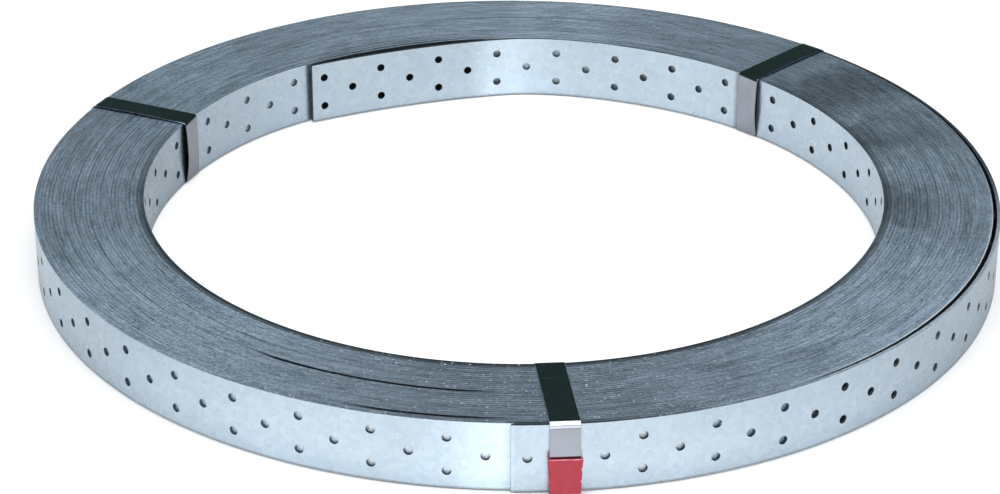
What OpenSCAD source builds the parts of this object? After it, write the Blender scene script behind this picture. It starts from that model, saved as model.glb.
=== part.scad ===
// Coil of perforated steel bracing strip, lying flat and held by three packing bands

/* [Strip] */
// Width of the strip, which is the height of the coil
strip_w = 40; // [30:1:80]
// Thickness of the strip
strip_t = 2; // [1.5:0.1:3]
// Air between one turn and the next
turn_gap = 0.14; // [0.1:0.01:0.4]
// Corner worn off each edge of the strip, beside the gap
edge_wear = 0.15; // [0.05:0.05:0.4]
// Depth to which the gap between two turns shows on the faces of the coil
gap_depth = 1; // [0.5:0.1:3]

/* [Coil] */
// Diameter inside the innermost turn
bore_d = 436; // [350:1:600]
// Turns that lie side by side across the section
turns = 31; // [12:1:45]
// Direction of the outer end of the strip, in degrees
outer_end = 269.5; // [262:0.5:271]
// Direction of the inner end of the strip, in degrees
inner_end = 127.5; // [115:0.5:140]
// How far the outermost turn stands off between the front and right bands
slack = 1.6; // [0.5:0.1:3]
// How far the tip of the inner end springs off the bore
tail_tip_lift = 3; // [2.5:0.5:6]
// How far the middle of the inner end springs off the bore
tail_mid_lift = 8; // [5:0.5:12]

/* [Nail holes] */
// Diameter of a nail hole
hole_d = 5; // [3:0.5:7]
// Distance from one row of holes to the next along the strip
hole_pitch = 20; // [12:1:40]
// Distance across the strip between the two holes of a pair
hole_gauge = 20; // [10:1:24]
// Distance from the outer end to its first row, which is a single hole
first_outer_row = 8.5; // [5:0.5:18]
// Distance from the inner end to its first row, which is a pair
first_inner_row = 8.5; // [5:0.5:18]

/* [Bands] */
// Width of a packing band
band_w = 16; // [10:1:25]
// Thickness of a packing band
band_t = 0.6; // [0.4:0.1:1]
// Direction of the front band, in degrees
front_band = 274.6; // [273:0.1:285]
// Direction of the right band, in degrees
right_band = 46; // [20:0.1:70]
// Direction of the left band, in degrees
left_band = 157; // [150:0.1:200]
// How far a band bows off the wall of the bore
band_bow = 3.5; // [1:0.5:6]
// Room between a band and the wall that it lies on
band_room = 0.2; // [0.1:0.05:0.5]

/* [Seals] */
// Length of a seal along its band
seal_l = 20; // [12:1:25]
// Thickness of a seal's sheet
seal_t = 0.9; // [0.6:0.1:1.5]
// Height of a seal's lower end above the lower face of the coil
seal_rise = 1.5; // [0.5:0.5:6]
// Room between a seal and the band inside it
seal_room = 0.2; // [0.1:0.05:0.4]
// Height of a crimp notch
notch_h = 2.6; // [1.5:0.1:4]
// Depth of a crimp notch
notch_depth = 0.8; // [0.4:0.1:1]
// How far the lapped end of a band runs on past its seal
lap_past = 5; // [1:0.5:8]

/* [Hidden] */
$fn = 120;

// Two half rings with their centres a half pitch apart make one continuous spiral. The winding starts
// along X and is turned to its outer end when it is whole. The step between the centres is in whole
// microns, so that the turns of both halves meet exactly.
micron = 0.001;
shift = micron * round((strip_t + turn_gap) / 4 / micron);
pitch = 4 * shift;
bore_r = bore_d / 2;
right_in = bore_r + shift;
right_out = right_in + strip_t + (turns - 1) * pitch;
left_in = right_in + pitch / 2;
left_out = right_out - pitch / 2;
right_centre = [shift, 0];
left_centre = [-shift, 0];
cut_past = 1;

// The slack stretch of the outermost turn lies on a circle set off towards the middle of the stretch.
slack_margin = 3;
slack_half = turned(right_band - front_band) / 2 - slack_margin;
slack_shift = slack / (1 - cos(slack_half));
slack_r = right_out + slack - slack_shift;
slack_middle = front_band + slack_margin + slack_half - outer_end;
slack_centre = right_centre + slack_shift * heading(slack_middle);

// The sprung inner end is an arc through three points of its inner face. It leaves the wall of the bore
// a little before the half rings meet.
tail_root = 180;
tail_tip = turned(inner_end - outer_end);
tail_span = tail_tip - tail_root;
tail_inside = 3;
tail_root_lift = 0.2;
tail_trim = 0.05;
tail_tip_at = (bore_r - tail_tip_lift) * heading(tail_tip);
tail_mid_at = (bore_r - tail_mid_lift) * heading(tail_root + tail_span / 2);
tail_root_at = (bore_r - tail_root_lift) * heading(tail_root);
tail_centre = through(tail_tip_at, tail_mid_at, tail_root_at);
tail_r = norm(tail_tip_at - tail_centre);
tail_from = toward(tail_root_at - tail_centre) - tail_inside;
tail_sweep = toward(tail_tip_at - tail_centre) - tail_from;
tail_l = tail_r * PI / 180 * (tail_sweep - tail_inside);

// The leg of a band that carries the seal leans out, because the seal's back lies behind it.
seal_half = band_t + seal_room + seal_t;
seal_top = seal_rise + seal_l;
leg_lean = (seal_half + band_room) / (1 - seal_top / strip_w);
leg_tilt = atan(leg_lean / strip_w);
lap_l = seal_top + lap_past;
bow_r = (pow(strip_w / 2, 2) + pow(band_bow, 2)) / (2 * band_bow);
bow_lap = 2;
notch_count = 2;

function heading(a) = [cos(a), sin(a)];
function toward(v) = turned(atan2(v.y, v.x));
function turned(a) = a - 360 * floor(a / 360);
function degrees_of(length, r) = length / r * 180 / PI;

// Centre of the circle through three points
function through(a, b, c) =
    let (d = 2 * (a.x * (b.y - c.y) + b.x * (c.y - a.y) + c.x * (a.y - b.y)))
    [(a * a) * (b.y - c.y) + (b * b) * (c.y - a.y) + (c * c) * (a.y - b.y),
     (a * a) * (c.x - b.x) + (b * b) * (a.x - c.x) + (c * c) * (b.x - a.x)] / d;

// Distance from the coil's axis to a wall of the spiral in a direction
function on_right(a) = turned(a - outer_end) < 180;
function wall_at(a, right_r, left_r) =
    let (way = on_right(a) ? 1 : -1, r = on_right(a) ? right_r : left_r, off = a - outer_end)
    way * shift * cos(off) + sqrt(r * r - pow(shift * sin(off), 2));
function outer_wall(a) = wall_at(a, right_out, left_out);
function inner_wall(a) = wall_at(a, right_in, left_in);

// Upper outline of turns wound side by side, from the outside in, with the gaps between them
function turn_edges(r, count) = [
    [r, strip_w],
    for (k = [1:1:count - 1]) each
        let (in = r - k * pitch - edge_wear, out = r - (k - 1) * pitch - strip_t + edge_wear)
        [[out, strip_w], [out, strip_w - gap_depth], [in, strip_w - gap_depth], [in, strip_w]],
    [r - (count - 1) * pitch - strip_t, strip_w]
];

// Section through turns wound side by side, with their edges showing above and below
module turns_section(r, count) {
    upper = turn_edges(r, count);
    lower = [for (i = [len(upper) - 1:-1:0]) [upper[i].x, strip_w - upper[i].y]];
    polygon(concat(upper, lower));
}

// Turns swept about a centre from a direction
module sweep_turns(centre, from, sweep, r, count) {
    translate(centre) rotate(from)
        rotate_extrude(angle = sweep) turns_section(r, count);
}

// The sprung inner end, with its edges a hair below the faces of the coil
module tail_end() {
    translate(tail_centre) rotate(tail_from) rotate_extrude(angle = tail_sweep)
        translate([tail_r, tail_trim]) square([strip_t, strip_w - 2 * tail_trim]);
}

// The crescent between a slack circle and a turn inside it, which may run past the coil's faces
module crescent(outside_r, inside_r, past) {
    translate([0, 0, -past]) linear_extrude(height = strip_w + 2 * past) difference() {
        translate(slack_centre) circle(outside_r);
        translate(right_centre) circle(inside_r);
    }
}

// One nail hole, drilled square to the strip between two radii of an arc
module nail_hole(centre, a, from_r, to_r, height) {
    translate([centre.x, centre.y, height]) rotate(a) translate([from_r, 0, 0])
        rotate([0, 90, 0]) cylinder(d = hole_d, h = to_r - from_r);
}

// A row of holes across the strip: one in the middle, or a pair
module hole_row(centre, a, from_r, to_r, paired) {
    for (side = paired ? [-1, 1] : [0])
        nail_hole(centre, a, from_r, to_r, strip_w / 2 + side * hole_gauge / 2);
}

// Holes of the outermost turn, counted from the outer end
module outer_holes() {
    right_l = PI * right_out;
    rows = floor((right_l + PI * left_out - first_outer_row - hole_d) / hole_pitch);
    for (i = [0:rows]) {
        along = first_outer_row + i * hole_pitch;
        past = along - right_l;
        if (past < 0)
            hole_row(right_centre, degrees_of(along, right_out),
                right_out - strip_t, right_out + slack + cut_past, i % 2 == 1);
        else
            hole_row(left_centre, 180 + degrees_of(past, left_out),
                left_out - strip_t, left_out + cut_past, i % 2 == 1);
    }
}

// Holes of the innermost turn, counted from the inner end
module inner_holes() {
    right_l = PI * right_in;
    left_l = left_in * PI / 180 * (360 - tail_tip);
    rows = floor((tail_l + right_l + left_l - first_inner_row - hole_d) / hole_pitch);
    for (i = [0:rows]) {
        along = first_inner_row + i * hole_pitch;
        past_tail = along - tail_l;
        past_right = past_tail - right_l;
        if (past_tail < 0)
            hole_row(tail_centre, tail_from + tail_sweep - degrees_of(along, tail_r),
                tail_r - cut_past, tail_r + strip_t, i % 2 == 0);
        else if (past_right < 0)
            hole_row(right_centre, tail_root - degrees_of(past_tail, right_in),
                right_in - cut_past, right_in + strip_t, i % 2 == 0);
        else
            hole_row(left_centre, -degrees_of(past_right, left_in),
                left_in - cut_past, left_in + strip_t, i % 2 == 0);
    }
}

module strip_coil() {
    color([0.70, 0.75, 0.79]) translate([0, 0, band_t]) rotate(outer_end) difference() {
        union() {
            sweep_turns(right_centre, 0, 180, right_out, turns);
            sweep_turns(left_centre, 180, 180, left_out, turns - 1);
            tail_end();
            crescent(slack_r, right_out - strip_t / 2, 0);
        }
        crescent(slack_r - strip_t, right_out - pitch, cut_past);
        outer_holes();
        inner_holes();
    }
}

// Side view of one band around the ring's section: lower face, seal's side with its lap, upper face and bore
module band_loop(r_in, r_out) {
    foot = [r_out + leg_lean, 0];
    along = heading(90 + leg_tilt);
    outward = heading(leg_tilt);
    bow_centre = [r_in - band_bow + bow_r, strip_w / 2];
    function on_leg(out, length) = foot + out * outward + length * along;
    function at_height(out, height) = on_leg(out, (height - out * outward.y) / along.y);
    // The bowed leg is cut from a disc, which runs a little into the legs above and below it
    module bore_side(r, past) {
        intersection() {
            translate(bow_centre) circle(r);
            translate([r_in - band_bow - 2 * band_t, -past])
                square([band_bow + 2 * band_t + bow_lap, strip_w + 2 * past]);
        }
    }
    difference() {
        union() {
            polygon([[r_in, -band_t], at_height(band_t, -band_t),
                at_height(band_t, strip_w + band_t), [r_in, strip_w + band_t]]);
            bore_side(bow_r + band_t, band_t);
        }
        polygon([[r_in + bow_lap / 2, 0], at_height(-band_t, 0), on_leg(-band_t, lap_l), on_leg(0, lap_l),
            [r_out, strip_w], [r_in + bow_lap / 2, strip_w]]);
        bore_side(bow_r, 0);
    }
}

// A band around the coil in one direction
module band(a) {
    r_in = sqrt(pow(inner_wall(a), 2) - pow(band_w / 2, 2)) - band_room;
    r_out = outer_wall(a) + band_room;
    color([0.33, 0.35, 0.35]) rotate(a) translate([0, 0, band_t]) rotate([90, 0, 0])
        linear_extrude(height = band_w, center = true) band_loop(r_in, r_out);
}

// A rectangle about the origin with rounded corners
module rounded_rect(size, r) {
    square([size.x - 2 * r, size.y], center = true);
    square([size.x, size.y - 2 * r], center = true);
    for (x = [-1, 1], y = [-1, 1])
        translate([x * (size.x / 2 - r), y * (size.y / 2 - r)]) circle(r);
}

// The crimped sleeve around the lapped ends of a band
module seal(a) {
    slot = [2 * (band_t + seal_room), band_w + 2 * seal_room];
    sleeve = slot + 2 * [seal_t, seal_t];
    color([0.72, 0.10, 0.13]) rotate(a)
        translate([outer_wall(a) + band_room + leg_lean, 0, band_t]) rotate([0, -leg_tilt, 0])
        translate([0, 0, seal_rise]) difference() {
            linear_extrude(height = seal_l) difference() {
                rounded_rect(sleeve, seal_t);
                square(slot, center = true);
            }
            for (side = [-1, 1], i = [1:notch_count])
                translate([0, side * sleeve.y / 2, i * seal_l / (notch_count + 1)])
                    cube([sleeve.x + cut_past, 2 * notch_depth, notch_h], center = true);
        }
}

module band_front() { band(front_band); }
module band_right() { band(right_band); }
module band_left() { band(left_band); }
module seal_front() { seal(front_band); }
module seal_right() { seal(right_band); }
module seal_left() { seal(left_band); }

strip_coil();
band_front();
band_right();
band_left();
seal_front();
seal_right();
seal_left();
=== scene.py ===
import math
from bisect import bisect_left
import bpy
import bmesh
from mathutils import Matrix, Vector, noise


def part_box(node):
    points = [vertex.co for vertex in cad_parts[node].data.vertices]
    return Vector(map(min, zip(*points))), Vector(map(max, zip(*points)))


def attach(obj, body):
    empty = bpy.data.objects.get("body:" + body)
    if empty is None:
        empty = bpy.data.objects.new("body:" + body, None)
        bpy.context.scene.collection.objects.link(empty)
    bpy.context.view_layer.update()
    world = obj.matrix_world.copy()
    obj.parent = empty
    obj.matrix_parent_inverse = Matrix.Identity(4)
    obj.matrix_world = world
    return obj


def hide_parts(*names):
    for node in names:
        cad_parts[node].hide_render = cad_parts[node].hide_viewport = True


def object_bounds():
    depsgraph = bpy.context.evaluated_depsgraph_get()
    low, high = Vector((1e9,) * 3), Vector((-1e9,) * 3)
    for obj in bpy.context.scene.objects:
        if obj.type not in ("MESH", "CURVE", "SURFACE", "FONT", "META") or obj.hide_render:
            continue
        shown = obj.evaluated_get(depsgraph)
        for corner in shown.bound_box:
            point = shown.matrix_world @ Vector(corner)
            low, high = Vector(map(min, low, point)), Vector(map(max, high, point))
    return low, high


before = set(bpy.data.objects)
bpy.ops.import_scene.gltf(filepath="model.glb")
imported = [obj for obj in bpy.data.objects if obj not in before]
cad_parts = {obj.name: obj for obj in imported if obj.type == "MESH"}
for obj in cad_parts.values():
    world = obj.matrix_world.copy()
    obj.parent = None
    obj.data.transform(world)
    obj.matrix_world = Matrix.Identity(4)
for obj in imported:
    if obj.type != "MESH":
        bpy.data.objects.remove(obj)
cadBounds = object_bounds()
scene = bpy.context.scene
mm = 0.001
coilLow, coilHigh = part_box("strip_coil")
print("frame loaded, coil stands from", round(coilLow[2] / mm, 2), "to", round(coilHigh[2] / mm, 2), "mm")


# Camera, fitted to the outlines of the coil

camera = {
    "focalPixels": 2901,  # for a picture 1000 pixels wide
    "pictureWidth": 1000,
    "sensor": 36,  # mm
    "elevation": 27.05,
    "roll": 0.27,
    "distance": 1739 * mm,
    "target": Vector((-8.51 * mm, -8.08 * mm, coilLow[2])),
}


def makeCamera(spec):
    data = bpy.data.cameras.new("camera")
    data.sensor_fit = "HORIZONTAL"
    data.sensor_width = spec["sensor"]
    data.lens = spec["focalPixels"] / spec["pictureWidth"] * spec["sensor"]
    data.clip_start = 0.05
    data.clip_end = 100
    obj = bpy.data.objects.new("camera", data)
    scene.collection.objects.link(obj)
    tilt = Matrix.Rotation(math.radians(90 - spec["elevation"]), 4, "X")
    lean = Matrix.Rotation(math.radians(spec["roll"]), 4, "Z")
    back = tilt @ Vector((0, 0, spec["distance"]))
    obj.matrix_world = Matrix.Translation(spec["target"] + back) @ tilt @ lean
    scene.camera = obj


makeCamera(camera)
print("camera set")


# Shader helpers

def setSocket(tree, socket, value):
    if isinstance(value, bpy.types.NodeSocket):
        tree.links.new(value, socket)
    else:
        socket.default_value = value


def addNode(tree, kind, values=None, **settings):
    node = tree.nodes.new(kind)
    for name, value in settings.items():
        setattr(node, name, value)
    for name, value in (values or {}).items():
        setSocket(tree, node.inputs[name], value)
    return node


def mixColour(tree, factor, low, high):
    node = addNode(tree, "ShaderNodeMix", data_type="RGBA")
    sockets = {socket.identifier: socket for socket in node.inputs}
    for name, value in (("Factor_Float", factor), ("A_Color", low), ("B_Color", high)):
        setSocket(tree, sockets[name], value)
    return next(s for s in node.outputs if s.identifier == "Result_Color")


def scaleColour(tree, colour, level):
    return addNode(tree, "ShaderNodeVectorMath", {0: colour, "Scale": level}, operation="SCALE").outputs[0]


def spread(tree, value, low, high, toLow=0.0, toHigh=1.0):
    node = addNode(tree, "ShaderNodeMapRange", {"Value": value, "From Min": low, "From Max": high,
                                                "To Min": toLow, "To Max": toHigh})
    return node.outputs["Result"]


def mixValue(tree, factor, low, high):
    return addNode(tree, "ShaderNodeMix", {"Factor": factor, "A": low, "B": high}).outputs["Result"]


def attribute(tree, name):
    return addNode(tree, "ShaderNodeAttribute", attribute_name=name).outputs["Fac"]


def maths(tree, operation, a, b=0.0):
    node = addNode(tree, "ShaderNodeMath", {0: a, 1: b}, operation=operation)
    return node.outputs[0]


def product(tree, first, *others):
    for other in others:
        first = maths(tree, "MULTIPLY", first, other)
    return first


def cloudNoise(tree, vector, scale, detail):
    return addNode(tree, "ShaderNodeTexNoise", {"Vector": vector, "Scale": scale, "Detail": detail}).outputs


def addBump(tree, shader, height, strength, depth):
    bump = addNode(tree, "ShaderNodeBump", {"Height": height, "Strength": strength, "Distance": depth})
    tree.links.new(bump.outputs["Normal"], shader.inputs["Normal"])


def rgb(r, g, b):
    return (r, g, b, 1.0)


def newMaterial(name):
    material = bpy.data.materials.new(name)
    material.use_nodes = True
    tree = material.node_tree
    tree.nodes.clear()
    shader = addNode(tree, "ShaderNodeBsdfPrincipled")
    output = addNode(tree, "ShaderNodeOutputMaterial", {"Surface": shader.outputs["BSDF"]})
    output.location = (300, 0)
    return material, tree, shader


def newGroup(name, inputs, outputs):
    group = bpy.data.node_groups.new(name, "ShaderNodeTree")
    for label, kind, value in inputs:
        socket = group.interface.new_socket(label, in_out="INPUT", socket_type=kind)
        socket.default_value = value
    for label, kind in outputs:
        group.interface.new_socket(label, in_out="OUTPUT", socket_type=kind)
    return group, group.nodes.new("NodeGroupInput").outputs, group.nodes.new("NodeGroupOutput").inputs


def useGroup(tree, group, values):
    return addNode(tree, "ShaderNodeGroup", values, node_tree=group).outputs


# Painted light and shade around the coil: brightness from a table of directions in degrees

def levelAround(tree, angle, levels):
    ramp = addNode(tree, "ShaderNodeValToRGB", {"Fac": spread(tree, angle, -math.pi, math.pi)})
    stops = sorted(((a + 180) % 360 / 360, level) for a, level in levels.items())
    places = ramp.color_ramp.elements
    places[0].position, places[1].position = stops[0][0], stops[1][0]
    for share, level in stops[2:]:
        places.new(share)
    for place, (share, level) in zip(places, stops):
        place.color = rgb(level / 2, level / 2, level / 2)
    return product(tree, ramp.outputs["Color"], 2.0)


# Where a point lies on the coil: its direction and radius, and how far its face looks outwards

def makeAroundCoil():
    group, given, result = newGroup("around the coil", [("Place", "NodeSocketVector", (0, 0, 0)),
                                                        ("Facing", "NodeSocketVector", (0, 0, 1))],
                                    [("Angle", "NodeSocketFloat"), ("Radius", "NodeSocketFloat"),
                                     ("Outward", "NodeSocketFloat")])
    level = addNode(group, "ShaderNodeVectorMath", {0: given["Place"], 1: (1, 1, 0)}, operation="MULTIPLY")
    flat = level.outputs[0]
    spin = addNode(group, "ShaderNodeSeparateXYZ", {"Vector": flat}).outputs
    radius = addNode(group, "ShaderNodeVectorMath", {0: flat}, operation="LENGTH")
    outward = addNode(group, "ShaderNodeVectorMath", {0: flat, 1: given["Facing"]}, operation="DOT_PRODUCT")
    group.links.new(maths(group, "ARCTAN2", spin["Y"], spin["X"]), result["Angle"])
    group.links.new(radius.outputs["Value"], result["Radius"])
    group.links.new(outward.outputs["Value"], result["Outward"])
    return group


# Rub marks: fine scratches in two directions and cloudy handling stains

def makeRubMarks():
    group, given, result = newGroup("rub marks", [("Vector", "NodeSocketVector", (0, 0, 0)),
                                                  ("Fineness", "NodeSocketFloat", 1.0)],
                                    [("Scratches", "NodeSocketFloat"), ("Stain", "NodeSocketFloat")])
    scaled = scaleColour(group, given["Vector"], given["Fineness"])
    lines = []
    for turn, stretch in ((0.5, (900, 60, 300)), (-0.9, (60, 700, 240))):
        turned = addNode(group, "ShaderNodeMapping", {"Vector": scaled, "Rotation": (0.2, 0.1, turn),
                                                      "Scale": stretch})
        grain = cloudNoise(group, turned.outputs[0], 1.0, 3.0)
        lines.append(spread(group, grain["Fac"], 0.6, 0.72))
    group.links.new(maths(group, "MAXIMUM", *lines), result["Scratches"])
    cloud = addNode(group, "ShaderNodeTexNoise", {"Vector": scaled, "Scale": 55.0, "Detail": 5.0,
                                                  "Roughness": 0.62})
    group.links.new(spread(group, cloud.outputs["Fac"], 0.38, 0.68), result["Stain"])
    return group


aroundCoil = makeAroundCoil()
rubMarks = makeRubMarks()


# Edges that lie low in the top face: turns from the outer end, from and to, and depth

sunkEdges = ((15.907, 15.993, 1.7 * mm), (2.949, 2.999, 1.2 * mm))


# Galvanised faces of the strip

galvanised = {
    "pale": rgb(0.685, 0.80, 0.91),
    "deep": rgb(0.615, 0.73, 0.845),
    "stain": rgb(0.52, 0.62, 0.72),
    "stainShare": 0.25,
    "metallic": 0.88,
    "coveredMetallic": 0.3,
    "roughLow": 0.26,
    "roughHigh": 0.36,
    "spangle": 320,  # crystals to the metre
    "warp": 2 * mm,  # of the outlines of the crystals
    "warpScale": 420,
    "bump": 0.18,
    "bumpDepth": 0.2 * mm,
    # painted light and shade on the outer wall by direction, with a painted highlight just before the outer
    # end
    "outside": {181: 1.1, 200: 1.18, 208: 1.03, 216: 0.99, 227: 1.06, 245: 1.11, 258: 1.0, 263: 1.08,
                266: 1.28, 269.2: 1.36, 269.8: 1.0, 308: 1.0, 322: 0.88, 338: 0.88, 540: 1.1},
    # painted light and shade in the bore by direction, with a painted highlight near 90 degrees
    "inside": {181: 0.58, 12: 0.89, 43.9: 0.87, 44.2: 0.08, 47.9: 0.08, 48.2: 0.91, 60: 0.92, 76: 0.86,
               84: 0.92, 90: 1.09, 94: 1.06, 98: 0.80, 125: 0.81, 150: 0.68, 154.7: 0.66, 155: 0.08,
               158.9: 0.08, 159.2: 0.63, 168: 0.58, 540: 0.58},  # painted shadows behind the bands
    "outerTurnTo": 1.0,  # turns from the outer end; what lies under the first or the last turn is covered
    "innerTurnFrom": 29.605,
    # painted light and shade on the covered faces, seen through the holes and gaps
    "coveredOutside": {181: 1.5, 230: 1.9, 290: 2.0, 301: 1.9, 305: 0.4, 312: 0.12, 0: 0.1, 50: 0.12, 70: 0.5,
                       540: 1.5},
    "coveredInside": {181: 1.5, 0: 0.3, 60: 0.6, 85: 1.0, 93: 0.9, 96: 0.1, 127: 0.1, 130: 2.0, 165: 1.9,
                      540: 1.5},
    "deepShade": 0.2,  # painted shade between the turns that lie deeper
    "deepFrom": 2.02,  # turns from the outer end
    "deepTo": 28.605,
    "lowEdgeShade": 0.6,  # painted shade along the lower edge
    "lowFrom": 0.5 * mm,
    "lowTo": 1.6 * mm,
}


def makeGalvanised(spec):
    material, tree, shader = newMaterial("galvanised face")
    coordinates = addNode(tree, "ShaderNodeTexCoord").outputs
    place = coordinates["Object"]
    bend = cloudNoise(tree, place, spec["warpScale"], 2.0)
    push = scaleColour(tree, bend["Color"], spec["warp"])
    bent = addNode(tree, "ShaderNodeVectorMath", {0: place, 1: push}, operation="ADD").outputs[0]
    crystals = addNode(tree, "ShaderNodeTexVoronoi", {"Vector": bent, "Scale": spec["spangle"]})
    tone = addNode(tree, "ShaderNodeSeparateColor", {"Color": crystals.outputs["Color"]}).outputs
    marks = useGroup(tree, rubMarks, {"Vector": place, "Fineness": 0.5})
    colour = mixColour(tree, tone["Red"], spec["deep"], spec["pale"])
    stained = mixColour(tree, product(tree, marks["Stain"], spec["stainShare"]), colour, spec["stain"])
    around = useGroup(tree, aroundCoil, {"Place": place, "Facing": coordinates["Normal"]})
    outward = maths(tree, "GREATER_THAN", around["Outward"], 0.0)
    wound = attribute(tree, "wound")

    def levels(inside, outside):
        return mixValue(tree, outward, levelAround(tree, around["Angle"], spec[inside]),
                        levelAround(tree, around["Angle"], spec[outside]))

    def between(first, last):
        return mixValue(tree, outward, maths(tree, "LESS_THAN", wound, spec[last]),
                        maths(tree, "GREATER_THAN", wound, spec[first]))

    covered = between("outerTurnTo", "innerTurnFrom")
    deep = between("deepFrom", "deepTo")
    # painted light and shade on the covered faces, and painted shade on the deeper turns
    under = mixValue(tree, deep, levels("coveredInside", "coveredOutside"), spec["deepShade"])
    rise = addNode(tree, "ShaderNodeSeparateXYZ", {"Vector": place}).outputs["Z"]
    # painted shade along the lower edge
    low = spread(tree, rise, coilLow[2] + spec["lowFrom"], coilLow[2] + spec["lowTo"], spec["lowEdgeShade"], 1.0)
    # brightness from painted light and shade: by direction, along the lower edge and on the covered faces
    level = product(tree, levels("inside", "outside"), low, mixValue(tree, covered, 1.0, under))
    tree.links.new(scaleColour(tree, stained, level), shader.inputs["Base Color"])
    rough = spread(tree, tone["Green"], 0.0, 1.0, spec["roughLow"], spec["roughHigh"])
    tree.links.new(rough, shader.inputs["Roughness"])
    light = maths(tree, "SUBTRACT", covered, deep)
    metal = spread(tree, light, 0.0, 1.0, spec["metallic"], spec["coveredMetallic"])
    tree.links.new(metal, shader.inputs["Metallic"])
    height = maths(tree, "ADD", product(tree, tone["Blue"], 0.5), product(tree, bend["Fac"], 0.8))
    addBump(tree, shader, height, spec["bump"], spec["bumpDepth"])
    return material


# Slit edges of the strip, which make the two faces of the coil

slitEdge = {
    "pale": rgb(0.55, 0.67, 0.85),
    "deep": rgb(0.19, 0.26, 0.325),
    # colour of the painted shade on the edges
    "rim": rgb(0.045, 0.06, 0.075),
    # colour of the painted highlight on the outer edges
    "edgeHighlight": rgb(0.88, 0.91, 0.94),
    # colour of the painted glints
    "glintSpeck": rgb(0.80, 0.86, 0.95),
    "metallic": 0.85,
    "edgeHighlightMetallic": 0.2,
    "roughness": 0.42,
    "turnPitch": 2.14 * mm,
    "streak": {"around": 4.0, "across": 0.8, "detail": 4.0, "share": 0.42},
    "dash": {"around": 19.0, "across": 1.1, "detail": 2.0, "share": 0.40},
    "patch": {"around": 7.0, "across": 0.12, "detail": 3.0, "share": 0.3},
    "grainScale": 700,
    "grainShare": 0.5,
    "deepTo": 0.60,  # tones that count as deep and as pale
    "paleFrom": 1.02,
    "drift": 0.08,  # how far the levels waver, in radians
    "innerRim": 28.58,  # turns from the outer end; the painted shade on the innermost edges starts here
    "sprungFrom": 30.46,
    "soft": 0.04,  # turns over which the painted shade on the edges sets in
    "darkest": 0.9,
    # painted shade on the innermost edges, by direction
    "innerDark": {181: 0.6, 195: 0.85, 215: 0.95, 300: 0.95, 330: 0.75, 10: 0.6, 30: 0.5, 45: 0.15, 130: 0.05,
                  157: 0.1, 168: 0.45, 540: 0.6},
    # painted shade on the outermost edge, beside the outer end and the slack gap
    "outerDark": {181: 0.0, 269.6: 0.0, 270: 0.9, 279: 0.8, 286: 0.35, 292: 0.0, 350: 0.0, 2: 0.85, 44: 0.85,
                  48: 0.0, 540: 0.0},
    # painted highlight on the outer edges, by direction
    "edgeHighlightAt": {181: 0.0, 300: 0.0, 312: 0.5, 325: 0.75, 345: 0.6, 352: 0.35, 5: 0.12, 20: 0.0, 540: 0.0},
    "outerEdgeHighlight": 0.3,  # the outermost edge gets less painted highlight than the second
    "glintsToTheMetre": 540,
    "holeWallShade": 0.3,  # painted shade on the walls of the holes
    # painted light and shade on the top face, by direction
    "levels": {0: 1.10, 8: 1.16, 16: 0.82, 24: 1.10, 29: 0.72, 32: 0.54, 37: 0.64, 41: 0.97, 55: 0.88,
               70: 0.88, 85: 1.05, 100: 0.93, 115: 0.94, 130: 1.09, 145: 1.32, 170: 1.12, 181: 1.06,
               200: 1.12, 215: 1.34, 230: 1.28, 245: 0.93, 260: 0.62, 268: 0.60, 285: 0.64, 300: 0.92,
               315: 1.30, 330: 1.32, 345: 1.10, 540: 1.06},
    # painted dark reflections in sectors of the top face
    "paintedDarkReflection": {181: 1.0, 345: 1.0, 347: 0.62, 352: 0.58, 357: 0.66, 1: 1.0, 10: 1.0, 14: 0.7, 18: 0.72,
               24: 1.0, 540: 1.0},
    "paintedDarkReflectionFrom": 232 * mm,  # the painted dark reflection lies inside this radius and thins out to the next
    "paintedDarkReflectionTo": 262 * mm,
}


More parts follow.
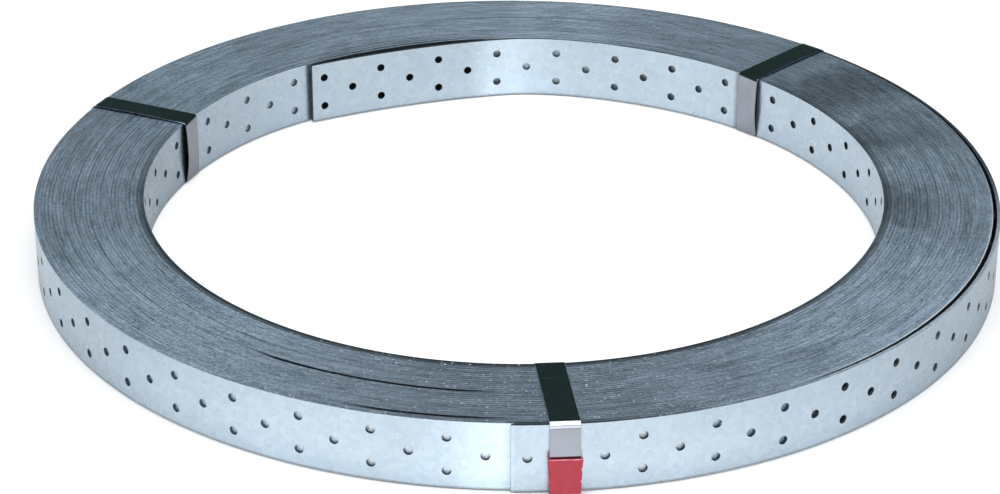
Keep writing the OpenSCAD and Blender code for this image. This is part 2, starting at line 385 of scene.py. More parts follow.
def makeSlitEdge(spec):
    material, tree, shader = newMaterial("slit edge")
    place = addNode(tree, "ShaderNodeTexCoord").outputs["Object"]
    around = useGroup(tree, aroundCoil, {"Place": place})
    turnAngle = around["Angle"]
    cosine = maths(tree, "COSINE", turnAngle)
    sine = maths(tree, "SINE", turnAngle)
    turnOf = maths(tree, "DIVIDE", around["Radius"], spec["turnPitch"])
    wound = attribute(tree, "wound")

    def woundNoise(kind):
        vector = addNode(tree, "ShaderNodeCombineXYZ", {"X": product(tree, cosine, kind["around"]),
                                                        "Y": product(tree, sine, kind["around"]),
                                                        "Z": product(tree, turnOf, kind["across"])})
        return cloudNoise(tree, vector.outputs[0], 1.0, kind["detail"])["Fac"]

    def setIn(start, most):
        return spread(tree, wound, start, start + spec["soft"], 0.0, most)

    kinds = {name: woundNoise(spec[name]) for name in ("streak", "dash", "patch")}
    grain = cloudNoise(tree, place, spec["grainScale"], 3.0)["Fac"]
    tone = 0.0
    for name, kind in kinds.items():
        tone = maths(tree, "ADD", product(tree, kind, spec[name]["share"]), tone)
    tone = maths(tree, "ADD", product(tree, grain, spec["grainShare"]), tone)
    colour = mixColour(tree, spread(tree, tone, spec["deepTo"], spec["paleFrom"]), spec["deep"], spec["pale"])
    drift = spread(tree, kinds["patch"], 0.2, 0.8, -spec["drift"], spec["drift"])
    angle = maths(tree, "ADD", turnAngle, drift)
    # painted dark reflection in the inner part of the top face
    paintedDarkReflection = mixValue(tree, spread(tree, around["Radius"], spec["paintedDarkReflectionTo"], spec["paintedDarkReflectionFrom"]), 1.0,
                      levelAround(tree, angle, spec["paintedDarkReflection"]))
    rise = addNode(tree, "ShaderNodeSeparateXYZ", {"Vector": place}).outputs["Z"]
    fromEdge = maths(tree, "MINIMUM", maths(tree, "SUBTRACT", rise, coilLow[2]),
                     maths(tree, "SUBTRACT", coilHigh[2], rise))
    # painted shade on the walls of the holes
    holeWallShade = spread(tree, fromEdge, 3 * mm, 4 * mm, 1.0, spec["holeWallShade"])
    # brightness from painted light and shade: by direction, the painted dark reflection and the painted shade
    # in the holes
    level = product(tree, levelAround(tree, angle, spec["levels"]), paintedDarkReflection, holeWallShade)
    # painted shade on the innermost edges, the outermost edge, the sprung end and the sunk edges
    lastTwo = maths(tree, "ADD", setIn(spec["innerRim"], 0.75), setIn(spec["innerRim"] + 1, 0.25))
    inner = product(tree, lastTwo, levelAround(tree, turnAngle, spec["innerDark"]))
    outer = product(tree, spread(tree, wound, 1.08, 1.0), levelAround(tree, turnAngle, spec["outerDark"]))
    sprung = setIn(spec["sprungFrom"], spec["darkest"])
    shaded = maths(tree, "MAXIMUM", maths(tree, "MAXIMUM", inner, sprung), outer)
    for start, stop, depth in sunkEdges:
        low = product(tree, spread(tree, wound, start, start + 0.01, 0.0, spec["darkest"]),
                      spread(tree, wound, stop, stop - 0.01))
        shaded = maths(tree, "MAXIMUM", shaded, low)
    edged = mixColour(tree, shaded, scaleColour(tree, colour, level), spec["rim"])
    # painted highlight on the outer edges towards the right
    second = product(tree, maths(tree, "GREATER_THAN", wound, 1.0), maths(tree, "LESS_THAN", wound, 2.0),
                     spread(tree, attribute(tree, "across"), 0.05, 0.25))
    outermost = product(tree, maths(tree, "LESS_THAN", wound, 1.0), spec["outerEdgeHighlight"])
    edgeHighlight = product(tree, maths(tree, "MAXIMUM", second, outermost),
                     levelAround(tree, turnAngle, spec["edgeHighlightAt"]))
    edged = mixColour(tree, edgeHighlight, edged, spec["edgeHighlight"])
    # painted glints: bright specks towards the outer end
    dots = addNode(tree, "ShaderNodeTexVoronoi", {"Vector": place, "Scale": spec["glintsToTheMetre"]}).outputs
    chance = addNode(tree, "ShaderNodeSeparateColor", {"Color": dots["Color"]}).outputs
    near = product(tree, spread(tree, dots["Distance"], 0.5, 0.15),
                   spread(tree, chance["Green"], 0.0, 1.0, 0.25, 1.0))
    plain = spread(tree, sine, -0.72, -0.97, 1.0, 0.9)  # painted glints lie towards the outer end
    glintSpeck = product(tree, maths(tree, "GREATER_THAN", chance["Red"], plain), near)
    tree.links.new(mixColour(tree, glintSpeck, edged, spec["glintSpeck"]), shader.inputs["Base Color"])
    rough = spread(tree, grain, 0.3, 0.7, spec["roughness"] - 0.06, spec["roughness"] + 0.08)
    tree.links.new(rough, shader.inputs["Roughness"])
    metal = spread(tree, edgeHighlight, 0.0, 1.0, spec["metallic"], spec["edgeHighlightMetallic"])
    tree.links.new(metal, shader.inputs["Metallic"])
    addBump(tree, shader, maths(tree, "ADD", grain, glintSpeck), 0.35, 0.1 * mm)
    return material


# Bright rolled steel of the packing bands

bandSteel = {
    "clean": rgb(0.43, 0.46, 0.53),
    "dull": rgb(0.33, 0.36, 0.41),
    "roughLow": 0.13,
    "roughHigh": 0.26,
    "inside": {181: 0.59, 157: 0.59, 100: 0.8, 46: 0.82, 0: 0.9, 540: 0.59},  # painted shade in the bore
}


def makeBandSteel(spec):
    material, tree, shader = newMaterial("band steel")
    coordinates = addNode(tree, "ShaderNodeTexCoord").outputs
    place = coordinates["Object"]
    marks = useGroup(tree, rubMarks, {"Vector": place, "Fineness": 1.0})
    around = useGroup(tree, aroundCoil, {"Place": place, "Facing": coordinates["Normal"]})
    inBore = spread(tree, around["Outward"], -0.10, -0.15)
    # painted shade on the faces in the bore
    level = mixValue(tree, inBore, 1.0, levelAround(tree, around["Angle"], spec["inside"]))
    colour = mixColour(tree, product(tree, marks["Stain"], 0.6), spec["clean"], spec["dull"])
    tree.links.new(scaleColour(tree, colour, level), shader.inputs["Base Color"])
    wear = maths(tree, "MAXIMUM", product(tree, marks["Scratches"], 0.8), product(tree, marks["Stain"], 0.35))
    rough = spread(tree, wear, 0.0, 1.0, spec["roughLow"], spec["roughHigh"])
    tree.links.new(rough, shader.inputs["Roughness"])
    shader.inputs["Metallic"].default_value = 1.0
    addBump(tree, shader, cloudNoise(tree, place, 120.0, 1.0)["Fac"], 0.12, 0.4 * mm)
    return material


# Red paint of the seals, and the bare sheet that shows at their rims

sealPaint = {
    "red": rgb(0.60, 0.045, 0.080),
    "worn": rgb(0.44, 0.032, 0.055),
    "chip": rgb(0.62, 0.40, 0.42),
    "roughness": 0.38,
    "rim": rgb(0.55, 0.33, 0.36),
}


def makeSealPaint(spec):
    material, tree, shader = newMaterial("seal paint")
    place = addNode(tree, "ShaderNodeTexCoord").outputs["Object"]
    marks = useGroup(tree, rubMarks, {"Vector": place, "Fineness": 2.2})
    coat = mixColour(tree, product(tree, marks["Stain"], 0.55), spec["red"], spec["worn"])
    flake = cloudNoise(tree, place, 700.0, 4.0)["Fac"]
    chipped = product(tree, spread(tree, flake, 0.72, 0.78), 0.6)
    tree.links.new(mixColour(tree, chipped, coat, spec["chip"]), shader.inputs["Base Color"])
    tree.links.new(spread(tree, marks["Scratches"], 0.0, 1.0, spec["roughness"], spec["roughness"] + 0.2),
                   shader.inputs["Roughness"])
    addBump(tree, shader, flake, 0.12, 0.1 * mm)
    return material


def makeSealRim(spec):
    material, tree, shader = newMaterial("seal rim")
    place = addNode(tree, "ShaderNodeTexCoord").outputs["Object"]
    marks = useGroup(tree, rubMarks, {"Vector": place, "Fineness": 3.0})
    tree.links.new(mixColour(tree, marks["Stain"], spec["rim"], spec["red"]), shader.inputs["Base Color"])
    tree.links.new(spread(tree, marks["Scratches"], 0.0, 1.0, 0.3, 0.5), shader.inputs["Roughness"])
    shader.inputs["Metallic"].default_value = 0.6
    return material


galvanisedFace = makeGalvanised(galvanised)
slitEdgeFace = makeSlitEdge(slitEdge)
bandFace = makeBandSteel(bandSteel)
sealFace = makeSealPaint(sealPaint)
sealRimFace = makeSealRim(sealPaint)
print("materials made")


# The strip: a spiral of flat steel, wound from its outer end inwards

strip = {
    "width": coilHigh[2] - coilLow[2],
    "thickness": 2 * mm,
    "pitch": 2.14 * mm,  # from one turn to the next
    "boreRadius": 218 * mm,
    "rootWind": 30.5,  # turns from the outer end to where the inner end springs off
    "outerEnd": 269.5,  # directions, in degrees
    "innerEnd": 127.5,
    "slack": 1.6 * mm,  # how far the outermost turn stands off
    "slackOnset": 1.6,  # over 1, the gap opens later
    "slackFrom": 277.6,
    "slackTo": 403,
    "tipLift": 3 * mm,  # how far the inner end springs off
    "midLift": 8 * mm,
    "follow": 5.5 * mm,  # the turns behind the sprung end follow it, each half as far as the one before
    "followTurns": 4,
    "followBefore": 0.25,  # shares of the sprung end's length
    "followAfter": 0.4,
    "kinkShare": 0.08,  # share of the sprung end that bends
    "loose": 1.1 * mm,  # how far the innermost turn stands in beside the sprung end
    "looseFrom": 49,
    "looseTo": 88,
    "squeeze": 0.6 * mm,  # how far the turns behind the slack stretch sit in
    "squeezeTurns": 5,
    "bunch": 0.16 * mm,  # widest gap that the turns leave where they bunch
    "bunchTurns": 5.3,
    "bunchMargin": 1.5,  # turns at each end of the strip that don't bunch
    "tight": 2.4 * mm,  # how far the innermost turn sits out where the turns lie tighter
    "tightAt": 275,
    "tightTo": 70,  # to both sides
    "edgeRound": 0.08 * mm,
    "holeDiameter": 5 * mm,
    "holePitch": 20 * mm,
    "firstOuterRow": 8.5 * mm,  # a single hole
    "firstInnerRow": 8.5 * mm,  # a pair
    "holeSides": 16,
    "stepsToTheTurn": 180,
    "walkSteps": 2400,  # for measuring along the strip
    "wobble": 0.07 * mm,  # unevenness of the winding
    "edgeDrop": 0.30 * mm,
    "edgeRoll": 0.05,
    "outerSeam": 365,  # where hidden stretches take over, in degrees from the outer end
    "innerSeam": 137,
}
tipWind = strip["rootWind"] + (strip["innerEnd"] - (strip["outerEnd"] - 180)) / 360
outerSeamWind = strip["outerSeam"] / 360
innerSeamWind = 29 + strip["innerSeam"] / 360
middleHeight = (coilLow[2] + coilHigh[2]) / 2


def unevenness(wind, kind):
    turn = math.tau * wind
    slow = noise.noise(Vector((1.4 * math.cos(turn), 1.4 * math.sin(turn), 1.7 * wind + 40 * kind)))
    quick = noise.noise(Vector((4.2 * math.cos(turn), 4.2 * math.sin(turn), 2.9 * wind + 40 * kind + 17)))
    return 0.75 * slow + 0.35 * quick


def plainRadius(wind):
    return strip["boreRadius"] + strip["thickness"] / 2 + strip["pitch"] * (strip["rootWind"] - wind)


def slackAt(wind):
    middle = (strip["slackFrom"] + strip["slackTo"]) / 2
    half = math.radians(strip["slackTo"] - strip["slackFrom"]) / 2
    off = math.radians(strip["outerEnd"] + 360 * wind - middle)
    if abs(off) > half:
        return 0.0
    return strip["slack"] * ((math.cos(off) - math.cos(half)) / (1 - math.cos(half))) ** strip["slackOnset"]


def squeezeAt(wind):
    turn = math.floor(wind)
    turns = strip["squeezeTurns"]
    if not 1 <= turn <= turns:
        return 0.0
    return strip["squeeze"] * (turns + 1 - turn) / turns * slackAt(wind - turn) / strip["slack"]


def bunchAt(wind):
    turn = math.tau * wind
    drift = noise.noise(Vector((0.8 * math.cos(turn), 0.8 * math.sin(turn), 0.23 * wind + 90)))
    share = (wind / strip["bunchTurns"] + 0.6 * drift) % 1
    return strip["bunch"] * (min(share / 0.93, (1 - share) / 0.07) - 0.5)


def tightAt(wind):
    off = abs((strip["outerEnd"] + 360 * wind - strip["tightAt"] + 180) % 360 - 180)
    if off > strip["tightTo"]:
        return 0.0
    return strip["tight"] * wind / strip["rootWind"] * math.cos(math.pi / 2 * off / strip["tightTo"]) ** 2


def springAt(wind):
    share = (wind - strip["rootWind"]) / (tipWind - strip["rootWind"])
    if share < -1:
        return 0.0
    share = (share + math.hypot(share, strip["kinkShare"])) / 2
    middle, tip = strip["midLift"], strip["tipLift"]
    return (4 * middle - tip) * share + (2 * tip - 4 * middle) * share ** 2


def followAt(wind):
    before, after = strip["followBefore"], 1 + strip["followAfter"]
    for turn in range(1, strip["followTurns"] + 1):
        share = (wind + turn - strip["rootWind"]) / (tipWind - strip["rootWind"])
        if -before < share < after:
            rise = math.sin(math.pi * (share + before) / (before + after)) ** 2
            return strip["follow"] * 0.5 ** turn * rise
    return 0.0


def looseAt(wind):
    direction = strip["outerEnd"] + 360 * (wind - 31)
    share = (direction - strip["looseFrom"]) / (strip["looseTo"] - strip["looseFrom"])
    if not 0 < share < 1:
        return 0.0
    return strip["loose"] * math.sin(math.pi * share) ** 2


def windingRadius(wind):
    radius = plainRadius(wind) + tightAt(wind) + strip["wobble"] * unevenness(wind, 1)
    margin = strip["bunchMargin"]
    if margin < wind < strip["rootWind"] - margin:
        radius += bunchAt(wind) * min(wind - margin, strip["rootWind"] - margin - wind, 1)
    return radius + slackAt(wind) - squeezeAt(wind) - springAt(wind) - followAt(wind) - looseAt(wind)


def sunkAt(wind):
    for start, stop, depth in sunkEdges:
        share = (wind - start) / (stop - start)
        if 0 < share < 1:
            return depth * math.sqrt(math.sin(math.pi * share))
    return 0.0


def windingPoint(wind):
    turn = math.radians(strip["outerEnd"] + 360 * wind)
    return windingRadius(wind) * Vector((math.cos(turn), math.sin(turn), 0))


def ontoWinding(wind, out, height):
    step = 0.0004
    ahead = (windingPoint(wind + step) - windingPoint(wind - step)).normalized()
    outward = Vector((ahead.y, -ahead.x, 0))
    rise = height - middleHeight
    drop = strip["edgeDrop"] * (0.5 + 0.5 * unevenness(wind, 2)) + sunkAt(wind)
    shape = abs(rise) / (strip["width"] / 2)
    lift = math.copysign(1, rise) * shape * (strip["edgeRoll"] * unevenness(wind, 3) * out - drop)
    return windingPoint(wind) + outward * out + Vector((0, 0, height + lift))


def lay(vert, layers, wind, out, height):
    vert.co = ontoWinding(wind, out, height)
    vert[layers[0]], vert[layers[1]] = wind, out / strip["thickness"]


# Mesh helpers

def roundSharpEdges(bm, offset, segments=1):
    sharp = [e for e in bm.edges if e.is_manifold and e.calc_face_angle() > math.radians(60)]
    return bmesh.ops.bevel(bm, geom=sharp, offset=offset, affect="EDGES", segments=segments, profile=0.5,
                           material=-1)["faces"]


def roundCorners(bm, corners, offset, segments):
    bmesh.ops.bevel(bm, geom=corners, offset=offset, affect="VERTICES", segments=segments, profile=0.5,
                    material=-1)


def extrudeRing(bm, ring, step):
    grown = bmesh.ops.extrude_edge_only(bm, edges=ring)["geom"]
    bmesh.ops.translate(bm, verts=[g for g in grown if isinstance(g, bmesh.types.BMVert)], vec=step)
    return [g for g in grown if isinstance(g, bmesh.types.BMEdge)]


# Hidden turns, spun inwards one turn at a time

def spinTurn(startWind, steps):
    bm = bmesh.new()
    bmesh.ops.create_grid(bm, x_segments=1, y_segments=1, size=0.5)
    bmesh.ops.scale(bm, verts=bm.verts[:], vec=(strip["thickness"], strip["width"], 1))
    roundCorners(bm, bm.verts[:], strip["edgeRound"], 1)
    bmesh.ops.delete(bm, geom=bm.faces[:], context="FACES_ONLY")
    bmesh.ops.rotate(bm, verts=bm.verts[:], cent=(0, 0, 0), matrix=Matrix.Rotation(math.pi / 2, 3, "X"))
    bmesh.ops.translate(bm, verts=bm.verts[:], vec=(plainRadius(startWind), 0, middleHeight))
    layers = bm.verts.layers.float.new("wound"), bm.verts.layers.float.new("across")
    share = steps / strip["stepsToTheTurn"]
    bmesh.ops.spin(bm, geom=bm.verts[:] + bm.edges[:], axis=(0, 0, 1), cent=(0, 0, 0), angle=math.tau * share,
                   steps=steps, dvec=(-strip["pitch"] / strip["stepsToTheTurn"], 0, 0))
    for vert in bm.verts:
        wind = startWind + (math.atan2(vert.co.y, vert.co.x) / math.tau + 1e-6) % 1
        out = math.hypot(vert.co.x, vert.co.y) - plainRadius(wind)
        if out < -strip["pitch"] / 2:  # the last section lies one pitch inside the first
            wind += 1
            out += strip["pitch"]
        lay(vert, layers, wind, out, vert.co.z)
    return bm


def addTo(whole, part):
    mesh = bpy.data.meshes.new("part")
    part.to_mesh(mesh)
    part.free()
    whole.from_mesh(mesh)
    bpy.data.meshes.remove(mesh)


def makeHiddenTurns():
    whole = bmesh.new()
    for name in ("wound", "across"):
        whole.verts.layers.float.new(name)
    left = round((innerSeamWind - outerSeamWind) * strip["stepsToTheTurn"])
    wind = outerSeamWind
    while left > 0:
        steps = min(left, strip["stepsToTheTurn"])
        addTo(whole, spinTurn(wind, steps))
        wind += steps / strip["stepsToTheTurn"]
        left -= steps
    bmesh.ops.remove_doubles(whole, verts=whole.verts[:], dist=0.001 * mm)
    bmesh.ops.holes_fill(whole, edges=[e for e in whole.edges if e.is_boundary], sides=0)
    bmesh.ops.recalc_face_normals(whole, faces=whole.faces[:])
    for face in whole.faces:
        face.material_index = 1 if abs(face.normal.z) > 0.5 else 0
    return whole


# Perforated stretches: flat cells around each hole, joined into a strip and laid onto the winding

def upright(x, z):
    return Matrix.Translation((x, 0, z)) @ Matrix.Rotation(math.pi / 2, 4, "X")


def addHoleCell(bm, x, z):
    half = strip["holePitch"] / 2
    stand = upright(x, z)
    square = bmesh.ops.create_grid(bm, x_segments=4, y_segments=4, size=half, matrix=stand)["verts"]
    inside = [v for v in square if max(abs(v.co.x - x), abs(v.co.z - z)) < 0.9 * half]
    edge = [v for v in square if v not in inside]
    bmesh.ops.delete(bm, geom=inside, context="VERTS")
    rim = bmesh.ops.create_circle(bm, segments=strip["holeSides"], radius=strip["holeDiameter"] / 2,
                                  matrix=stand @ Matrix.Rotation(math.pi / 4, 4, "Z"))["verts"]
    loops = {e for v in edge + rim for e in v.link_edges}
    bmesh.ops.bridge_loops(bm, edges=list(loops))


def addMargin(bm, x, z):
    quarter = strip["holePitch"] / 4
    stand = upright(x, z) @ Matrix.Diagonal((2, 1, 1, 1))
    bmesh.ops.create_grid(bm, x_segments=4, y_segments=2, size=quarter, matrix=stand)


def makeTile():
    bm = bmesh.new()
    pitch = strip["holePitch"]
    addHoleCell(bm, pitch / 2, pitch)
    addMargin(bm, pitch / 2, pitch / 4)
    addMargin(bm, pitch / 2, 7 * pitch / 4)
    addHoleCell(bm, 3 * pitch / 2, pitch / 2)
    addHoleCell(bm, 3 * pitch / 2, 3 * pitch / 2)
    bmesh.ops.remove_doubles(bm, verts=bm.verts[:], dist=0.01 * mm)
    mesh = bpy.data.meshes.new("tile")
    bm.to_mesh(mesh)
    bm.free()
    return mesh


def walkWinding(startWind, endWind):
    count = strip["walkSteps"]
    winds = [startWind + (endWind - startWind) * i / count for i in range(count + 1)]
    lengths = [0.0]
    for before, after in zip(winds, winds[1:]):
        lengths.append(lengths[-1] + (windingPoint(after) - windingPoint(before)).length)
    return winds, lengths


def windAfter(walk, length):
    winds, lengths = walk
    i = min(max(bisect_left(lengths, length), 1), len(lengths) - 1)
    share = (length - lengths[i - 1]) / (lengths[i] - lengths[i - 1])
    return winds[i - 1] + share * (winds[i] - winds[i - 1])


def makePerforated(startWind, endWind, firstCellStart):
    walk = walkWinding(startWind, endWind)
    length = walk[1][-1]
    tile = makeTile()
    bm = bmesh.new()
    period = 2 * strip["holePitch"]
    for i in range(math.ceil((length - firstCellStart) / period)):
        known = len(bm.verts)
        bm.from_mesh(tile)
        bm.verts.ensure_lookup_table()
        bmesh.ops.translate(bm, verts=bm.verts[known:], vec=(firstCellStart + i * period, 0, coilLow[2]))
    bpy.data.meshes.remove(tile)
    bmesh.ops.remove_doubles(bm, verts=bm.verts[:], dist=0.01 * mm)
    for cut, way in ((0.0, -1), (length, 1)):
        bmesh.ops.bisect_plane(bm, geom=bm.verts[:] + bm.edges[:] + bm.faces[:], dist=0.001 * mm,
                               plane_co=(cut, 0, 0), plane_no=(way, 0, 0), clear_outer=True)
    bmesh.ops.recalc_face_normals(bm, faces=bm.faces[:])
    bmesh.ops.solidify(bm, geom=bm.faces[:], thickness=strip["thickness"])
    middle = sum(v.co.y for v in bm.verts) / len(bm.verts)
    bmesh.ops.translate(bm, verts=bm.verts[:], vec=(0, -middle, 0))
    bmesh.ops.recalc_face_normals(bm, faces=bm.faces[:])
    roundSharpEdges(bm, strip["edgeRound"])
    for face in bm.faces:
        face.material_index = 0 if abs(face.normal.y) > 0.9 else 1
    layers = bm.verts.layers.float.new("wound"), bm.verts.layers.float.new("across")
    for vert in bm.verts:
        x, y, z = vert.co
        lay(vert, layers, windAfter(walk, min(max(x, 0), length)), y, z)
    bmesh.ops.recalc_face_normals(bm, faces=bm.faces[:])
    return bm


def finishPiece(name, bm, materials, smoothTo=35):
    mesh = bpy.data.meshes.new(name)
    bm.to_mesh(mesh)
    bm.free()
    for material in materials:
        mesh.materials.append(material)
    mesh.polygons.foreach_set("use_smooth", [True] * len(mesh.polygons))
    mesh.set_sharp_from_angle(angle=math.radians(smoothTo))
    obj = bpy.data.objects.new(name, mesh)
    scene.collection.objects.link(obj)
    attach(obj, "root")
    return obj


def makeStrip():
    whole = makeHiddenTurns()
    print("hidden turns:", len(whole.faces), "faces")
    half = strip["holePitch"] / 2
    addTo(whole, makePerforated(0, outerSeamWind, strip["firstOuterRow"] - half))
    innerRow = strip["firstInnerRow"] - half - strip["holePitch"]  # a pair stands first at the inner end
    addTo(whole, makePerforated(tipWind, innerSeamWind, innerRow))
    obj = finishPiece("wound_strip", whole, [galvanisedFace, slitEdgeFace])
    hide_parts("strip_coil")
    print("strip:", len(obj.data.polygons), "faces")


makeStrip()


# Packing bands: one loop each around the ring, closed by a crimped seal

band = {
    "width": 16 * mm,
    "thickness": 0.6 * mm,
    "directions": {"front": 274.6, "right": 46, "left": 157},
    "room": 0.2 * mm,  # to the walls of the coil
    "bow": 0.6 * mm,  # off the wall of the bore
    "twist": {"front": 0, "right": -1, "left": 1},  # the edge that stands off
    "standOff": 1.9 * mm,  # in the bore
    "lift": 1.1 * mm,  # off the top of the coil
    "skew": {"front": 2.3 * mm, "right": 0, "left": 0},  # of the outer leg
    "bend": 1.4 * mm,  # radius of the corners
    "outerBend": 3.0 * mm,  # of the upper outer corner, which stands off a little
    "outerStand": 0.5 * mm,
    "edgeRound": 0.12 * mm,
    "lapPast": 5 * mm,  # the under end runs on past the seal
}
seal = {
    "length": 20 * mm,
    "sheet": 0.9 * mm,
    "corner": 0.63 * mm,
    "rise": 1.5 * mm,
    "room": 0.2 * mm,
    "notchHeight": 2.6 * mm,
    "notchDepth": 0.8 * mm,
    "notches": 2,
    "taper": 0.10,  # narrower at its lower end
    "flare": 1.5 * mm,  # of its upper mouth
    "edgeRound": 0.22 * mm,
}
sealHalf = band["thickness"] + seal["room"] + seal["sheet"]
sealTop = seal["rise"] + seal["length"]
legLean = (sealHalf + band["room"]) / (1 - sealTop / strip["width"])
legTilt = math.atan(legLean / strip["width"])


def wallsAt(direction):
    outerWind = (direction - strip["outerEnd"]) % 360 / 360
    outer = plainRadius(outerWind) + strip["thickness"] / 2
    innerWind = outerWind + (30 if outerWind < 0.5 else 29)
    inner = plainRadius(innerWind) + tightAt(innerWind) - strip["thickness"] / 2
    return inner, outer


def turnedTo(direction):
    return Matrix.Rotation(math.radians(direction), 4, "Z")


def legFoot(outer):
    return Matrix.Translation((outer + legLean, 0, coilLow[2])) @ Matrix.Rotation(-legTilt, 4, "Y")


def makeBand(name, direction):
    inner, outer = wallsAt(direction)
    inner = math.sqrt(inner ** 2 - (band["width"] / 2) ** 2) - band["room"]
    outer += band["room"]
    low, high = coilLow[2], coilHigh[2]
    bm = bmesh.new()
    stand = band["outerStand"]
    corners = [(outer + stand, high + stand), (outer + legLean, low), (inner, low), (inner, high)]
    bm.faces.new([bm.verts.new((x, 0, z)) for x, z in corners])
    for (x, z), bend in zip(corners, (band["outerBend"], band["bend"], band["bend"], band["bend"])):
        corner = min(bm.verts, key=lambda v: math.hypot(v.co.x - x, v.co.z - z))
        roundCorners(bm, [corner], bend, 6)
    bmesh.ops.delete(bm, geom=bm.faces[:], context="FACES_ONLY")
    long = sorted(bm.edges, key=lambda e: e.calc_length())[-4:]
    bmesh.ops.subdivide_edges(bm, edges=long, cuts=11)
    for vert in bm.verts:
        if vert.co.x < inner + 0.1 * mm:
            share = (vert.co.z - low) / (high - low)
            vert.co.x -= band["bow"] * 4 * share * (1 - share)
    bmesh.ops.translate(bm, verts=bm.verts[:], vec=(0, -band["width"] / 2, 0))
    extrudeRing(bm, bm.edges[:], (0, band["width"], 0))
    bmesh.ops.recalc_face_normals(bm, faces=bm.faces[:])
    bmesh.ops.solidify(bm, geom=bm.faces[:], thickness=-band["thickness"])
    addLap(bm, outer)
    bmesh.ops.recalc_face_normals(bm, faces=bm.faces[:])
    roundSharpEdges(bm, band["edgeRound"])
    loosen(bm, name, inner, outer)
    bmesh.ops.transform(bm, matrix=turnedTo(direction), verts=bm.verts[:])
    obj = finishPiece("strap_" + name, bm, [bandFace])
    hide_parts("band_" + name)


def loosen(bm, name, inner, outer):
    low, high = coilLow[2], coilHigh[2]
    for vert in bm.verts:
        side = abs(band["twist"][name]) * (0.5 + band["twist"][name] * vert.co.y / band["width"])
        along = (vert.co.x - inner) / (outer - inner)
        rise = min(max((vert.co.z - low) / (high - low), 0), 1)
        if vert.co.x < inner + 1.1 * band["bend"]:
            hold = math.sin(math.pi / 2 * min(1, 2 * rise)) - 0.25 * max(0, 2 * rise - 1)
            vert.co.x -= band["standOff"] * side * hold
        if rise > 0.99 and 0 < along < 1:
            vert.co.z += band["lift"] * side * math.sqrt(math.sin(math.pi * along))
        vert.co.y += band["skew"][name] * min(max(along, 0), 1)


def addLap(bm, outer):
    length = sealTop + band["lapPast"]
    lap = bmesh.ops.create_cube(bm, size=1)["verts"]
    bmesh.ops.scale(bm, verts=lap, vec=(band["thickness"], band["width"], length))
    bmesh.ops.translate(bm, verts=lap, vec=(-band["thickness"] / 2, 0, length / 2))
    bmesh.ops.transform(bm, matrix=legFoot(outer), verts=lap)


def makeSeal(name, direction):
    inner, outer = wallsAt(direction)
    bm = bmesh.new()
    slotX, slotY = 2 * (band["thickness"] + seal["room"]), band["width"] + 2 * seal["room"]
    bmesh.ops.create_grid(bm, x_segments=1, y_segments=1, size=0.5)
    bmesh.ops.scale(bm, verts=bm.verts[:], vec=(slotX + 2 * seal["sheet"], slotY + 2 * seal["sheet"], 1))
    roundCorners(bm, bm.verts[:], seal["corner"], 3)
    bmesh.ops.delete(bm, geom=bm.faces[:], context="FACES_ONLY")
    levels = sealLevels()
    ring = bm.edges[:]
    for before, after in zip(levels, levels[1:]):
        grown = extrudeRing(bm, ring, (0, 0, after - before))
        ring = [e for e in grown if all(abs(v.co.z - after) < 0.001 * mm for v in e.verts)]
    crimp(bm)
    bmesh.ops.recalc_face_normals(bm, faces=bm.faces[:])
    bmesh.ops.solidify(bm, geom=bm.faces[:], thickness=seal["sheet"])
    bmesh.ops.recalc_face_normals(bm, faces=bm.faces[:])
    rims = roundSharpEdges(bm, seal["edgeRound"], 2)
    for face in bm.faces:
        face.material_index = 1 if abs(face.normal.z) > 0.8 else 0
    for face in rims:
        face.material_index = 1
    foot = turnedTo(direction) @ legFoot(outer + band["room"])
    place = foot @ Matrix.Translation((0, band["skew"][name], seal["rise"]))
    bmesh.ops.transform(bm, matrix=place, verts=bm.verts[:])
    obj = finishPiece("crimp_" + name, bm, [sealFace, sealRimFace])
    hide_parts("seal_" + name)


def notchMiddles():
    count = seal["notches"]
    return [i * seal["length"] / (count + 1) for i in range(1, count + 1)]


def sealLevels():
    half = seal["notchHeight"] / 2
    levels = [0.0, seal["length"]]
    for middle in notchMiddles():
        levels += [middle - half, middle, middle + half]
    return sorted(levels)


def crimp(bm):
    middles = notchMiddles()
    side = max(v.co.y for v in bm.verts)
    for vert in bm.verts:
        fromNotch = min(abs(vert.co.z - middle) for middle in middles)
        if fromNotch < 0.1 * mm and abs(vert.co.y) > side - 1.5 * seal["sheet"]:
            vert.co.y -= math.copysign(seal["notchDepth"], vert.co.y)
    for vert in bm.verts:
        vert.co.y *= 1 - seal["taper"] * (1 - vert.co.z / seal["length"])
        if vert.co.z > 0.95 * seal["length"] and vert.co.x > 0:
            vert.co.x += seal["flare"]


for bandName, bandDirection in band["directions"].items():
    makeBand(bandName, bandDirection)
    makeSeal(bandName, bandDirection)
print("bands and seals made")


# Floor, light and surroundings

studio = {
    "floorSize": 40,
    "floor": rgb(0.93, 0.93, 0.93),
    "floorSideShade": rgb(0.62, 0.62, 0.63),
    "paleTo": 0.02,  # painted pool of light: the floor is pale in the middle and greyer from here to its sides
    "greyFrom": 0.30,
    "lift": 0.16,  # added for the camera, so that the floor reads as white
    "liftSide": 0.46,
    "overheadSize": 2.2,
    "overheadPlace": (0, -0.25, 1.7),
    "overheadPower": 47,
    "frontSize": (0.5, 1.2),
    "frontLow": {"place": (0.40, -2.41, 0.88), "power": 4.0},
    "frontHigh": {"place": (0.36, -1.72, 1.84), "power": 2.2},
    "ceiling": rgb(0.024, 0.049, 0.040),
    "horizon": rgb(0.85, 0.87, 0.88),
    "horizonTop": 0.16,  # sine of the elevation where the pale horizon ends
}


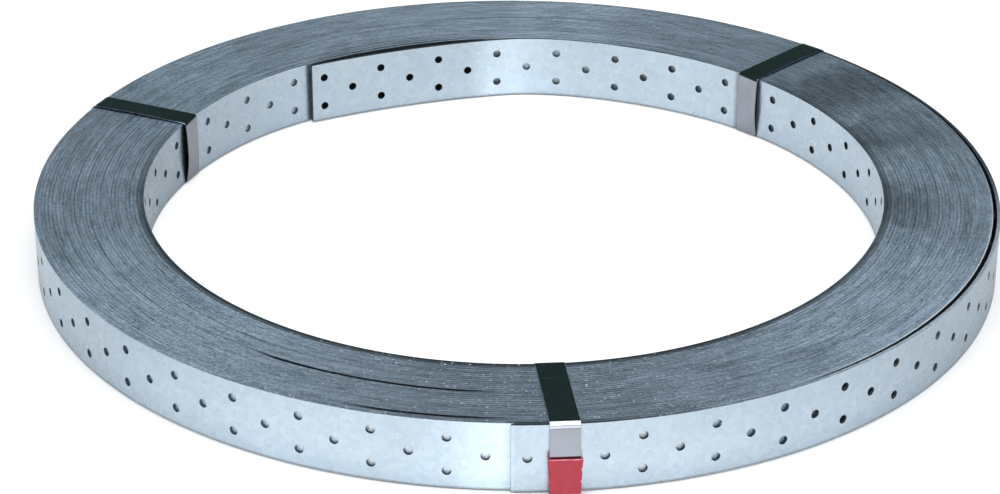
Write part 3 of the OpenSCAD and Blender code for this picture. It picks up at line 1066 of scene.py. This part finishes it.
def makeFloor(spec):
    material, tree, shader = newMaterial("floor")
    place = addNode(tree, "ShaderNodeTexCoord").outputs["Object"]
    across = addNode(tree, "ShaderNodeSeparateXYZ", {"Vector": place}).outputs["X"]
    # painted pool of light: pale in the middle, greyer towards the sides
    side = spread(tree, maths(tree, "ABSOLUTE", across), spec["paleTo"], spec["greyFrom"])
    tree.links.new(mixColour(tree, side, spec["floor"], spec["floorSideShade"]), shader.inputs["Base Color"])
    shader.inputs["Roughness"].default_value = 0.9
    shader.inputs["Specular IOR Level"].default_value = 0.0
    shader.inputs["Emission Color"].default_value = rgb(1, 1, 1)
    path = addNode(tree, "ShaderNodeLightPath").outputs
    lift = spread(tree, side, 0.0, 1.0, spec["lift"], spec["liftSide"])
    tree.links.new(product(tree, path["Is Camera Ray"], lift), shader.inputs["Emission Strength"])
    bm = bmesh.new()
    bmesh.ops.create_grid(bm, x_segments=8, y_segments=8, size=spec["floorSize"] / 2)
    mesh = bpy.data.meshes.new("floor")
    bm.to_mesh(mesh)
    bm.free()
    mesh.materials.append(material)
    obj = bpy.data.objects.new("floor", mesh)
    obj.location.z = cadBounds[0][2] - 0.05 * mm
    scene.collection.objects.link(obj)


def makeLamp(name, size, power, place, aim):
    data = bpy.data.lights.new(name, "AREA")
    data.shape = "RECTANGLE"
    data.size, data.size_y = size
    data.energy = power
    obj = bpy.data.objects.new(name, data)
    obj.location = place
    obj.rotation_euler = (Vector(aim) - Vector(place)).to_track_quat("-Z", "Y").to_euler()
    scene.collection.objects.link(obj)


def makeSurroundings(spec):
    world = bpy.data.worlds.new("studio")
    world.use_nodes = True
    tree = world.node_tree
    tree.nodes.clear()
    way = addNode(tree, "ShaderNodeTexCoord").outputs["Generated"]
    up = addNode(tree, "ShaderNodeSeparateXYZ", {"Vector": way}).outputs["Z"]
    dark = spread(tree, up, spec["horizonTop"] * 0.6, spec["horizonTop"])
    colour = mixColour(tree, dark, spec["horizon"], spec["ceiling"])
    sky = addNode(tree, "ShaderNodeBackground", {"Color": colour})
    addNode(tree, "ShaderNodeOutputWorld", {"Surface": sky.outputs[0]})
    scene.world = world


makeFloor(studio)
size = studio["overheadSize"]
makeLamp("overhead", (size, size), studio["overheadPower"], studio["overheadPlace"], (0, 0, 0))
for lampName in ("frontLow", "frontHigh"):
    lamp = studio[lampName]
    makeLamp(lampName, studio["frontSize"], lamp["power"], lamp["place"], (0, 0, 0))
makeSurroundings(studio)
scene.view_settings.view_transform = "Standard"
print("studio set")
